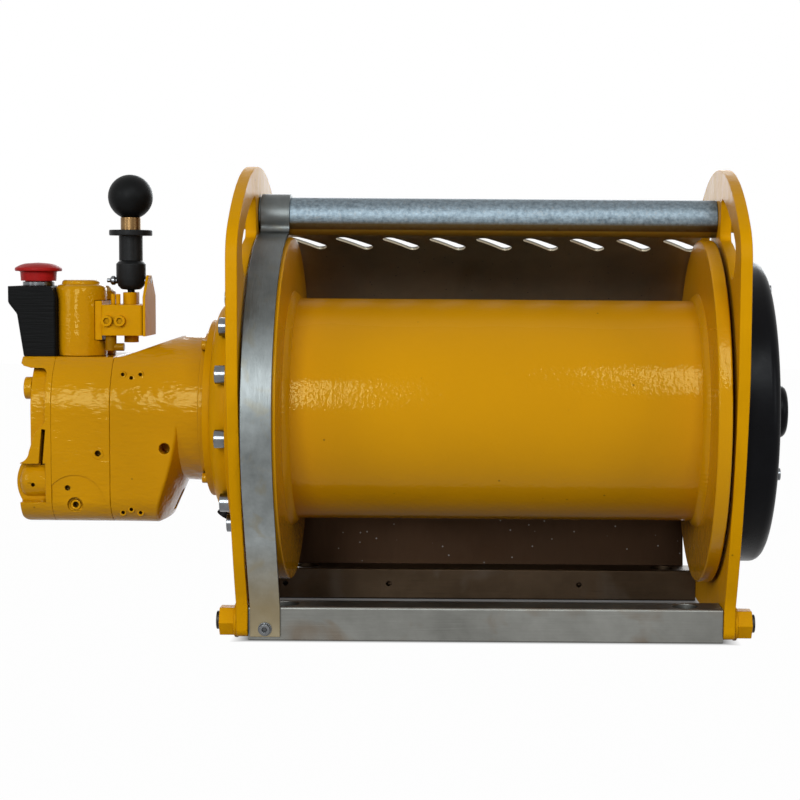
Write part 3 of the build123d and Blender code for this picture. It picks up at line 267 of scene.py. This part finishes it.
def bare_metal(
    name, dark, light, rough, grain, depth, patch=14.0, stain=None, soils_and_painted_light=(), dust=None, recess_shade_share=0.0
):
    """Uncoated metal: cloudy tone, drawn grain and, where given, stains, dust, bands of soil, of painted
    shade and of painted reflection, and painted shade in recesses.
    """
    made, tree, shader, where = finish(name)
    cloud = noise(tree, where, patch, 5.0, Roughness=0.65)
    tone = layered(tree, dark, light, spread(tree, cloud, 0, 1))
    if stain:
        spots = noise(tree, where, patch * 1.7, 3.0, Distortion=0.8)
        tone = layered(tree, tone, stain, spread(tree, spots, 0.0, 0.55, 0.56, 0.70))
    for colour, share_at in soils_and_painted_light:
        tone = layered(tree, tone, colour, share_at(tree, where))
    if dust:
        grit = spread(tree, specks(tree, where, 105.0), 0.8, 0.0, 0.06, 0.10)
        tone = layered(tree, tone, dust, grit)
    # Recesses are darkened by their openness: painted shade.
    if recess_shade_share:
        shade = spread(tree, openness(tree, 0.003), recess_shade_share, 0.0, 0.45, 0.85)
        tone = layered(tree, tone, recess_shade_black, shade)
    lines = noise(tree, stretched(tree, where, grain), 1.0, 3.0, Roughness=0.7)
    uneven = layered(tree, cloud, lines, 0.4)
    feed(tree, shader.inputs["Base Color"], tone)
    feed(tree, shader.inputs["Roughness"], spread(tree, uneven, rough - 0.08, rough + 0.10))
    feed(tree, shader.inputs["Normal"], bumped(tree, lines, depth))
    shader.inputs["Metallic"].default_value = 1.0
    return made


mill_stainless = bare_metal(
    "mill_stainless", dark=(0.120, 0.119, 0.108, 1), light=(0.194, 0.192, 0.176, 1), rough=0.42,
    grain=(18, 700, 700), depth=0.00015, patch=11.0, stain=(0.12, 0.085, 0.055, 1),
)
# A darker, browner copy for the rear bar: painted shade and painted reflection, over its stains.
shaded_rear_stainless = bare_metal(
    "shaded_rear_stainless", dark=(0.052, 0.033, 0.019, 1), light=(0.094, 0.062, 0.038, 1), rough=0.46,
    grain=(18, 700, 700), depth=0.00015, patch=11.0, stain=(0.11, 0.085, 0.065, 1),
)
eased("front_base_bar", mill_stainless, edge=0.8)
eased("rear_base_bar", shaded_rear_stainless, edge=0.4)


# Studs, nuts and tube bolts: blackened studs in the bar ends, with washers,
# hexagon nuts and bolts that were tightened first and then sprayed with the plates.
black_steel = bare_metal(
    "black_steel", dark=(0.020, 0.019, 0.018, 1), light=(0.055, 0.050, 0.045, 1), rough=0.45,
    grain=(300, 300, 300), depth=0.0002,
)
eased("frame_studs", black_steel, edge=0.4)
eased("frame_nuts", orange_enamel, edge=0.7)
eased("tie_tube_bolts", orange_enamel, edge=0.7)


# Top tie tube: galvanised steam pipe across the arch tops, its zinc mottled, with brown painted shade and a
# yellow painted reflection of the drum along its underside, and with plugs welded into the ends for the two
# end bolts.
def by_height(share, full, none):
    """A share that falls from its full strength at one height to nothing at another, in metres."""
    def at(tree, where):
        height = wired(tree, "SeparateXYZ", Vector=where).outputs["Z"]
        return spread(tree, height, share, 0.0, full, none)
    return at


def turned(name, node, profile, axis_at, coat, upright=False, steps=96):
    """Turn (along, radius, rounding) points in millimetres about an axis along X or Z."""
    work = bmesh.new()
    points = []
    for along, radius, _ in profile:
        spot = (radius, 0, along) if upright else (along, 0, radius)
        points.append(work.verts.new(Vector(spot) / 1000))
    closed = profile[0][1] > 0
    for near, far in zip(points, points[1:] + points[:1] if closed else points[1:]):
        work.edges.new((near, far))
    for point, (_, _, rounding) in zip(points, profile):
        if rounding:
            bmesh.ops.bevel(
                work, geom=[point], offset=rounding / 1000, offset_type="OFFSET", affect="VERTICES",
                segments=5, profile=0.5, material=-1,
            )
    bmesh.ops.spin(
        work, geom=work.verts[:] + work.edges[:], cent=(0, 0, 0), axis=(0, 0, 1) if upright else (1, 0, 0),
        angle=2 * math.pi, steps=steps, use_merge=True,
    )
    bmesh.ops.remove_doubles(work, verts=work.verts, dist=1e-6)
    offset = (axis_at[0], axis_at[1], 0) if upright else (0, axis_at[0], axis_at[1])
    bmesh.ops.translate(work, verts=work.verts, vec=Vector(offset) / 1000)
    return placed(work, name, node, coat)


tube_axis = (-19, 369)
tube_end = 206
tube_radius = 16.85
tube_bore = 13.65
plug_start = 181
plug_bore = 8
# Painted shade and a painted reflection of the yellow drum along the tube's underside.
underside_painted_shade = (0.085, 0.050, 0.006, 1)
painted_drum_reflection = (0.36, 0.30, 0.07, 1)
galvanised_zinc = bare_metal(
    "galvanised_zinc", dark=(0.082, 0.105, 0.122, 1), light=(0.217, 0.268, 0.301, 1), rough=0.47,
    grain=(300, 700, 700), depth=0.0004, patch=260.0, stain=(0.20, 0.21, 0.21, 1),
    soils_and_painted_light=[(underside_painted_shade, by_height(0.9, 0.3620, 0.3650)),
           (painted_drum_reflection, by_height(0.95, 0.3566, 0.3576))],
)
pipe = turned(
    "tie_tube", "top_tie_tube",
    [(-tube_end, plug_bore, 0), (-tube_end, tube_radius, 0.8), (tube_end, tube_radius, 0.8),
     (tube_end, plug_bore, 0), (plug_start, plug_bore, 0), (plug_start, tube_bore, 0),
     (-plug_start, tube_bore, 0), (-plug_start, plug_bore, 0)],
    tube_axis, galvanised_zinc,
)
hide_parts("top_tie_tube")


# Rear drum guard: dull rolled sheet round the back of the drum, with a row of slanted slots, welded under
# the tie tube and screwed to the rear bar. Its face towards the drum has a warm painted reflection of the
# orange drum and brown painted shade heavy low down; its back is plain steel.
drum_axis = (-19, 195)
guard_radius = 0.160
guard_middle = 0.1615
flat_angle = math.radians(100.15)


def guard_back(tree, where):
    """One on the guard's back and nothing on its inner face, on the roll and on the flat below it."""
    axis_spot = (0, -drum_axis[0] / 1000, -drum_axis[1] / 1000)
    off_axis = wired(tree, "Mapping", Vector=where, Location=axis_spot, Scale=(0, 1, 1)).outputs["Vector"]
    from_axis = wired(tree, "VectorMath", {"operation": "LENGTH"})
    feed(tree, from_axis.inputs[0], off_axis)
    across_flat = wired(tree, "VectorMath", {"operation": "DOT_PRODUCT"})
    feed(tree, across_flat.inputs[0], off_axis)
    feed(tree, across_flat.inputs[1], (0, math.sin(flat_angle), math.cos(flat_angle)))
    height = wired(tree, "SeparateXYZ", Vector=off_axis).outputs["Z"]
    on_roll = combined(tree, "GREATER_THAN", height, guard_radius * math.cos(flat_angle))
    behind_roll = combined(tree, "GREATER_THAN", from_axis.outputs["Value"], guard_middle)
    behind_flat = combined(tree, "GREATER_THAN", across_flat.outputs["Value"], guard_middle)
    return combined(tree, "MAXIMUM", behind_flat, combined(tree, "MULTIPLY", on_roll, behind_roll))


def inner_shade_share(tree, where):
    """The share of painted shade on the inner face, heavy low down and gone near the top."""
    inner = combined(tree, "SUBTRACT", 1.0, guard_back(tree, where))
    return combined(tree, "MULTIPLY", by_height(0.98, 0.09, 0.27)(tree, where), inner)


def outer_steel(tree, where):
    """The share of plain steel on the back."""
    return combined(tree, "MULTIPLY", guard_back(tree, where), 0.85)


inner_shade_brown = (0.030, 0.0130, 0.0058, 1)
plain_grey = (0.175, 0.172, 0.160, 1)
# The sheet's warm tone, kept on the inner face, is a painted reflection of the orange drum; the back is
# overlaid with plain steel grey.
rolled_sheet = bare_metal(
    "rolled_sheet", dark=(0.41, 0.360, 0.260, 1), light=(0.61, 0.540, 0.400, 1), rough=0.40,
    grain=(400, 60, 60), depth=0.0002, patch=7.0, stain=(0.36, 0.30, 0.20, 1),
    soils_and_painted_light=[(inner_shade_brown, inner_shade_share), (plain_grey, outer_steel)], dust=(0.20, 0.19, 0.18, 1),
)
eased("rear_drum_guard", rolled_sheet, edge=0.4)


# Flange guard strap: galvanised flat bar hooked over the tie tube and bent
# round the front of the left drum flange. The bright socket screws hold the
# strap's foot and the guard.
foot_brown = (0.24, 0.185, 0.095, 1)
shaded_grey = (0.055, 0.058, 0.056, 1)
strap_zinc = bare_metal(
    "strap_zinc", dark=(0.146, 0.159, 0.156, 1), light=(0.292, 0.313, 0.311, 1), rough=0.40,
    grain=(420, 60, 60), depth=0.0003, patch=30.0, stain=(0.22, 0.20, 0.14, 1),
    soils_and_painted_light=[(foot_brown, by_height(0.8, 0.03, 0.09)), (shaded_grey, by_height(0.65, 0.250, 0.110))],
)
eased("flange_guard_strap", strap_zinc, edge=0.6)
# Its screw sockets are darkened: painted shade.
bright_steel = bare_metal(
    "bright_steel", dark=(0.10, 0.105, 0.11, 1), light=(0.19, 0.195, 0.20, 1), rough=0.20,
    grain=(900, 120, 120), depth=0.0001, patch=60.0, recess_shade_share=0.95,
)
eased("sheet_screws", bright_steel, edge=0.3)


# Rope drum: a rolled barrel with two thick flanges, joined by a run of fillet
# weld at each end, all under one coat of glossy enamel with a fine orange peel.
barrel_left = -175.5
barrel_right = 190.5
barrel_radius = 100
barrel_bore = 92
hub_radius = 91.9
flange_radius = 155
flange_thick = 12
rim_round = 1.6
drum_enamel = enamel(
    "drum_enamel", dark=(0.570, 0.248, 0.001, 1), light=(0.605, 0.265, 0.001, 1),
    peel_scale=340.0, peel_depth=0.0004, wave_depth=0.0004, rough=0.05, level=0.19,
    fading=by_height(0.3, 0.28, 0.255), hollow_shade_share=0.2,
)
barrel = turned(
    "drum_tube", "drum_barrel",
    [(barrel_left, barrel_bore, 0), (barrel_left, barrel_radius, 0), (barrel_right, barrel_radius, 0),
     (barrel_right, barrel_bore, 0)],
    drum_axis, drum_enamel, steps=192,
)
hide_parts("drum_barrel")
for name, node, inner, outer, hub, bore in (
    ("left_flange", "left_drum_flange", barrel_left, barrel_left - flange_thick, -160, 80.05),
    ("right_flange", "right_drum_flange", barrel_right, barrel_right + flange_thick, 178, 45),
):
    flange = turned(
        name, node,
        [(outer, bore, 0), (outer, flange_radius, rim_round), (inner, flange_radius, rim_round),
         (inner, hub_radius, 0), (hub, hub_radius, 0), (hub, bore, 0)],
        drum_axis, drum_enamel, steps=192,
    )
    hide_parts(node)

weld_section = ((0, 99), (0, 106), (1.6, 105.2), (3.6, 103.4), (5.3, 101.4), (6, 99.8), (6, 99))
weld_skin = 0.1008
ripple_depth = 0.00028
ripple_count = 140
ripple_slant = 900
wander_depth = 0.0003
wander_count = 9
for name, end, inward in (("weld_left", barrel_left, 1), ("weld_right", barrel_right, -1)):
    bead = turned(
        name, "drum_barrel", [(end + inward * reach, radius, 0) for reach, radius in weld_section],
        drum_axis, drum_enamel, steps=560,
    )
    for spot in bead.data.vertices:
        y = spot.co.y - drum_axis[0] / 1000
        z = spot.co.z - drum_axis[1] / 1000
        radius = math.hypot(y, z)
        if radius > weld_skin:
            turn = math.atan2(z, y)
            swell = ripple_depth * math.sin(ripple_count * turn + ripple_slant * spot.co.x)
            swell += wander_depth * math.sin(wander_count * turn)
            spot.co.y += y / radius * swell
            spot.co.z += z / radius * swell


# Gears, shafts, bearings and brake steel out of sight: they keep their own
# meshes and get the finish of machined, bright or blackened steel.
def coated(node, coat):
    """A piece that keeps its own mesh under a new finish."""
    frame["nodes"][node].material_slots[0].material = coat


gear_steel = bare_metal(
    "gear_steel", dark=(0.20, 0.205, 0.215, 1), light=(0.34, 0.345, 0.355, 1), rough=0.30,
    grain=(500, 90, 90), depth=0.0001, patch=40.0,
)
for node in (
    "drum_shaft", "ring_gear", "planet_gear_1", "planet_gear_2", "planet_gear_3", "planet_carrier",
    "sun_pinion", "motor_drive_gear", "motor_idler_gear", "motor_shaft", "brake_disc", "brake_piston",
):
    coated(node, gear_steel)
for node in (
    "planet_pins", "motor_end_bearing", "motor_bearings", "throttle_spool", "brake_end_bearing",
    "brake_guide_pins", "brake_springs",
):
    coated(node, bright_steel)
coated("carrier_screws", black_steel)


# Motor mounting flange: turned casting bolted to the left plate with bare
# socket screws, and a plastic plug in its oil hole.
def moulded(name, colour, worn, rough, grain, depth, level=0.2):
    """Moulded or coated piece: fine texture, paler and duller where it is rubbed."""
    made, tree, shader, where = finish(name)
    rub = noise(tree, where, 25.0, 5.0, Roughness=0.7)
    tone = layered(tree, colour, worn, spread(tree, rub, 0, 1, 0.42, 0.75))
    pits = noise(tree, stretched(tree, where, grain), 1.0, 2.0)
    feed(tree, shader.inputs["Base Color"], tone)
    feed(tree, shader.inputs["Roughness"], spread(tree, rub, rough - 0.06, rough + 0.10))
    feed(tree, shader.inputs["Normal"], bumped(tree, pits, depth))
    shader.inputs["Specular IOR Level"].default_value = level
    return made


black_moulding = moulded(
    "black_moulding", colour=(0.006, 0.006, 0.006, 1), worn=(0.013, 0.013, 0.013, 1), rough=0.42,
    grain=(500, 500, 500), depth=0.0002, level=0.12,
)
eased("motor_mounting_flange", orange_enamel, edge=0.6)
eased("gear_oil_plug", black_moulding, edge=0.4)
eased("flange_screws", bright_steel, edge=0.5)


# Air motor: end cover, gear casing and front casing in cast iron, machined at
# the joints and sprayed in place, so the paint is wavy and glossy.
cast_enamel = enamel(
    "cast_enamel", dark=(0.515, 0.225, 0.001, 1), light=(0.585, 0.256, 0.001, 1),
    peel_scale=340.0, peel_depth=0.0009, wave_depth=0.0014, rough=0.05, level=0.17, stretch=(0.35, 1, 1),
)
for node in ("motor_end_cover", "motor_gear_casing", "motor_front_casing"):
    eased(node, cast_enamel, edge=0.8)
eased("motor_screws", cast_enamel, edge=0.5)


# Control valve: round body on the motor's flat, with the lever block bolted to its side, a pilot fitting
# below it in a darker copy of the enamel, painted shade, and a stop plate for the lever.
# A darker copy of the enamel for the pilot fitting: painted shade.
shaded_enamel = enamel(
    "shaded_enamel", dark=(0.170, 0.072, 0.001, 1), light=(0.330, 0.142, 0.001, 1),
    peel_scale=340.0, peel_depth=0.0009, wave_depth=0.0014, rough=0.20, level=0.15,
)
eased("valve_body", cast_enamel, edge=0.8)
eased("lever_block", orange_enamel, edge=0.4)
eased("pilot_fitting", shaded_enamel, edge=0.4)
eased("lever_block_screws", orange_enamel, edge=0.4)
eased("lever_side_plate", orange_enamel, edge=0.4)


# Control lever: black hub on a pivot pin with a grease nipple, brass tube,
# a sleeve that lifts to unlock it and a ball knob.
lever_axis = (-323.6, -19)
ball_plastic = moulded(
    "ball_plastic", colour=(0.004, 0.004, 0.004, 1), worn=(0.007, 0.007, 0.007, 1), rough=0.42,
    grain=(900, 900, 900), depth=0.00008, level=0.07,
)
rubbed_brass = bare_metal(
    "rubbed_brass", dark=(0.150, 0.085, 0.034, 1), light=(0.245, 0.150, 0.064, 1), rough=0.32,
    grain=(120, 120, 1400), depth=0.0001, patch=45.0,
)
eased("lever_pivot_pin", bright_steel, edge=0.3)
eased("lever_hub", black_moulding, edge=0.5)
collar = turned(
    "lever_collar", "lever_tube",
    [(327.5, 0, 0), (327.5, 9, 0.4), (367, 9, 0.4), (367, 5, 0), (381, 5, 0.4), (381, 0, 0)],
    lever_axis, rubbed_brass, upright=True, steps=64,
)
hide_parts("lever_tube")
sleeve = turned(
    "lifting_sleeve", "lock_sleeve",
    [(327.7, 9.1, 0.3), (327.7, 10.6, 0.5), (350.5, 10.6, 0.8), (350.5, 19.3, 0.9), (355.6, 19.3, 0.9),
     (355.6, 9.1, 0.3)],
    lever_axis, black_moulding, upright=True, steps=80,
)
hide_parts("lock_sleeve")
ball_radius = 0.020
ball_flat = -0.0184
ball_height = 385.4
work = bmesh.new()
bmesh.ops.create_uvsphere(work, u_segments=96, v_segments=64, radius=ball_radius)
cut = bmesh.ops.bisect_plane(
    work, geom=work.verts[:] + work.edges[:] + work.faces[:], plane_co=(0, 0, ball_flat),
    plane_no=(0, 0, -1), clear_outer=True,
)
rim = [part for part in cut["geom_cut"] if isinstance(part, bmesh.types.BMEdge)]
bmesh.ops.contextual_create(work, geom=rim)
bmesh.ops.translate(work, verts=work.verts, vec=Vector((*lever_axis, ball_height)) / 1000)
knob = placed(work, "ball_knob", "lever_knob", ball_plastic)
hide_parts("lever_knob")


# Emergency stop: ribbed black housing on the motor's lip, a bare metal bezel
# and the red mushroom button that shuts the air off.
stop_axis = (-406.3, -24)
stop_moulding = moulded(
    "stop_moulding", colour=(0.0025, 0.0025, 0.0025, 1), worn=(0.005, 0.005, 0.005, 1), rough=0.48,
    grain=(40, 40, 620), depth=0.0007, level=0.06,
)
stop_red = moulded(
    "stop_red", colour=(0.335, 0.007, 0.006, 1), worn=(0.435, 0.011, 0.010, 1), rough=0.40,
    grain=(700, 700, 700), depth=0.00012, level=0.12,
)
eased("stop_housing", stop_moulding, edge=0.5)
eased("stop_bezel", bright_steel, edge=0.4)
mushroom = turned(
    "stop_mushroom", "stop_button",
    [(292, 0, 0), (292, 12, 0), (314, 12, 0), (314, 14.4, 0), (309.2, 14.4, 0.2), (309.2, 15.6, 0.3),
     (317.6, 16.2, 0.8), (318, 20.5, 0.25), (319.5, 21.0, 0.8), (321, 20.5, 0.5), (324.6, 14, 4),
     (325.6, 0, 0)],
    stop_axis, stop_red, upright=True, steps=96,
)
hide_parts("stop_button")


# Brake: bearing housing and spring brake on the right plate under a spun steel
# cover with a satin black coat, its screws, and a cap over the shaft end.
cover_rim = 216
cover_face = 246.5
cover_radius = 136
cover_hole = 18
cover_wall = 4
cap_face = 272
cap_radius = 24
cap_bore = 19
black_coat = moulded(
    "black_coat", colour=(0.0028, 0.0028, 0.0035, 1), worn=(0.0045, 0.0045, 0.0055, 1), rough=0.30,
    grain=(260, 260, 260), depth=0.00012, level=0.06,
)
eased("brake_bearing_housing", orange_enamel, edge=0.5)
cover = turned(
    "brake_pan", "brake_cover",
    [(cover_rim, cover_radius - cover_wall, 0), (cover_rim, cover_radius, 0.8),
     (cover_face, cover_radius, 9), (cover_face, cover_hole, 0), (cover_face - cover_wall, cover_hole, 0),
     (cover_face - cover_wall, cover_radius - cover_wall, 5)],
    drum_axis, black_coat, steps=192,
)
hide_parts("brake_cover")
cap = turned(
    "shaft_cap", "brake_hub_cap",
    [(cover_face, cap_bore, 0), (cover_face, cap_radius, 0.5), (cap_face, cap_radius, 6), (cap_face, 0, 0)],
    drum_axis, black_coat, steps=96,
)
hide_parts("brake_hub_cap")
eased("brake_screws", bright_steel, edge=0.3)
seal_rubber = moulded(
    "seal_rubber", colour=(0.014, 0.014, 0.014, 1), worn=(0.030, 0.029, 0.028, 1), rough=0.6,
    grain=(300, 300, 300), depth=0.0003,
)
coated("drum_seal", seal_rubber)
pressed_lining = moulded(
    "pressed_lining", colour=(0.060, 0.042, 0.030, 1), worn=(0.11, 0.085, 0.065, 1), rough=0.7,
    grain=(450, 450, 450), depth=0.0005,
)
coated("brake_lining", pressed_lining)


# Studio: a pale floor that fades into a white surround, which metal and gloss
# reflect too, two upright softboxes in front, two far out at the sides, one behind.
def seen_rays(tree):
    """One for camera, glossy and transmission rays, nothing for the rays that only carry light."""
    rays = wired(tree, "LightPath")
    seen = rays.outputs["Is Camera Ray"]
    for kind in ("Is Glossy Ray", "Is Transmission Ray"):
        seen = combined(tree, "MAXIMUM", seen, rays.outputs[kind])
    return seen


floor_gap = 0.0004
floor_grey = (0.28, 0.28, 0.28, 1)
footprint_scale = (4.5, 8.47, 0.0)
floor_mesh = bpy.data.meshes.new("studio_floor")
work = bmesh.new()
bmesh.ops.create_grid(work, x_segments=2, y_segments=2, size=4.0)
work.to_mesh(floor_mesh)
work.free()
floor = bpy.data.objects.new("studio_floor", floor_mesh)
floor.location.z = -floor_gap
bpy.context.scene.collection.objects.link(floor)
pale, tree, shader, where = finish("pale_floor")
shader.inputs["Base Color"].default_value = floor_grey
shader.inputs["Roughness"].default_value = 0.9
glow = wired(tree, "Emission", Color=(1, 1, 1, 1), Strength=1.0)
apart = wired(tree, "VectorMath", {"operation": "ABSOLUTE"})
feed(tree, apart.inputs[0], stretched(tree, where, footprint_scale))
sides = wired(tree, "SeparateXYZ", Vector=apart.outputs["Vector"])
away = combined(tree, "MAXIMUM", sides.outputs["X"], sides.outputs["Y"])
fade = spread(tree, away, 0.05, 0.985, 0.92, 1.0)
mixed = wired(tree, "MixShader", Fac=combined(tree, "MULTIPLY", seen_rays(tree), fade))
feed(tree, mixed.inputs[1], shader.outputs["BSDF"])
feed(tree, mixed.inputs[2], glow.outputs["Emission"])
feed(tree, tree.nodes["Material Output"].inputs["Surface"], mixed.outputs["Shader"])
floor_mesh.materials.append(pale)

world = bpy.data.worlds.new("white_surround")
world.use_nodes = True
bpy.context.scene.world = world
tree = world.node_tree
surround = tree.nodes["Background"]
surround.inputs["Color"].default_value = (1, 1, 1, 1)
feed(tree, surround.inputs["Strength"], spread(tree, seen_rays(tree), 0.08, 1.0, 0, 1))

lamp_colour = (0.90, 0.96, 1.0)
for name, spot, aim, wide, tall, watts in (
    ("left_softbox", (-0.71, -2.50, 1.06), (-0.05, 0, 0.2), 0.70, 1.14, 35),
    ("right_softbox", (0.69, -2.50, 1.95), (0.05, 0, 0.2), 0.50, 1.40, 26),
    ("far_left_softbox", (-2.30, -1.80, 0.90), (0, 0, 0.2), 0.80, 1.20, 14),
    ("far_right_softbox", (2.30, -1.80, 0.90), (0, 0, 0.2), 0.80, 1.20, 15),
    ("rear_softbox", (0.20, 2.60, 1.00), (0, 0, 0.2), 2.00, 1.20, 30),
):
    lamp = bpy.data.lights.new(name, "AREA")
    lamp.shape = "RECTANGLE"
    lamp.size = wide
    lamp.size_y = tall
    lamp.energy = watts
    lamp.color = lamp_colour
    stand = bpy.data.objects.new(name, lamp)
    stand.location = spot
    stand.rotation_euler = (Vector(aim) - Vector(spot)).to_track_quat("-Z", "Y").to_euler()
    bpy.context.scene.collection.objects.link(stand)


# Camera: a long lens from the front at drum height, pitched and rolled a
# little as in the photograph.
camera_spot = (-0.00916, -1.62082, 0.32696)
down_tilt = math.radians(4.361)
side_roll = 0.0072
lens = bpy.data.cameras.new("front_camera")
lens.sensor_width = 36.0
lens.lens = 79.258
lens.shift_x = -0.09597
lens.shift_y = -0.00183
lens.clip_end = 50.0
camera = bpy.data.objects.new("front_camera", lens)
tilt = Matrix.Rotation(math.pi / 2 - down_tilt, 4, "X") @ Matrix.Rotation(side_roll, 4, "Z")
camera.matrix_world = Matrix.Translation(camera_spot) @ tilt
bpy.context.scene.collection.objects.link(camera)
bpy.context.scene.camera = camera
